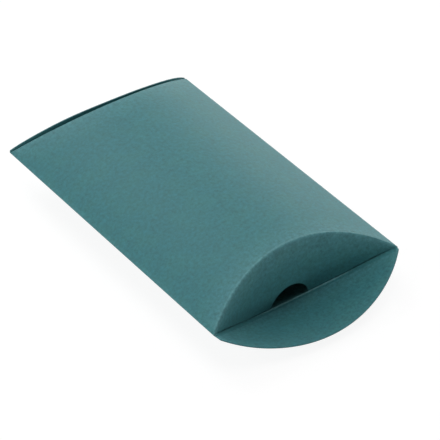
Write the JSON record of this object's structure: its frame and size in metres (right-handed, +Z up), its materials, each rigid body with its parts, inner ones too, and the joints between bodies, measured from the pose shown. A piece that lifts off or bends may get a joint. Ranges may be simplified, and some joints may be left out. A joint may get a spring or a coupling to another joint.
{
  "type": "pillow box",
  "caption": "Curved card pillow box with convex panels, arched tuck and cover flaps on living hinges and a half-round thumb notch, one end lying open.",
  "frame": {"origin": "on the table, under the middle of the belly of the bottom panel", "axes": "+X across the box to the right as seen from the near end, +Y along the box to the far end, +Z up"},
  "size_m": [0.1, 0.1774, 0.0335],
  "materials": {
    "card": "uncoated teal card, dyed through",
    "creased_card": "the same card, scuffed paler where it is scored and folded",
    "adhesive": "dried white glue"
  },
  "bodies": {
    "sleeve": {"top_panel": "card", "bottom_panel": "card", "right_side_fold": "creased_card", "left_side_fold": "creased_card", "glue_tab": "card", "glue_line": "adhesive", "far_tuck_flap": "card", "near_tuck_score": "creased_card", "near_cover_score": "creased_card", "far_tuck_score": "creased_card", "far_cover_score": "creased_card"},
    "near_tuck": {"near_tuck_flap": "card"},
    "near_cover": {"near_cover_flap": "card"},
    "far_cover": {"far_cover_flap": "card"}
  },
  "joints": [
    {"name": "near_tuck_hinge", "type": "hinge", "parent": "sleeve", "child": "near_tuck", "pos_m": [0, -0.0643, 0.0335], "axis": [-1, 0, 0], "range_deg": [0, 85]},
    {"name": "near_cover_hinge", "type": "hinge", "parent": "sleeve", "child": "near_cover", "pos_m": [0, -0.0654, 0], "axis": [1, 0, 0], "range_deg": [-70, 0], "deforming": ["near_cover_flap"]},
    {"name": "far_cover_hinge", "type": "hinge", "parent": "sleeve", "child": "far_cover", "pos_m": [0, 0.0654, 0], "axis": [-1, 0, 0], "range_deg": [0, 80]}
  ]
}
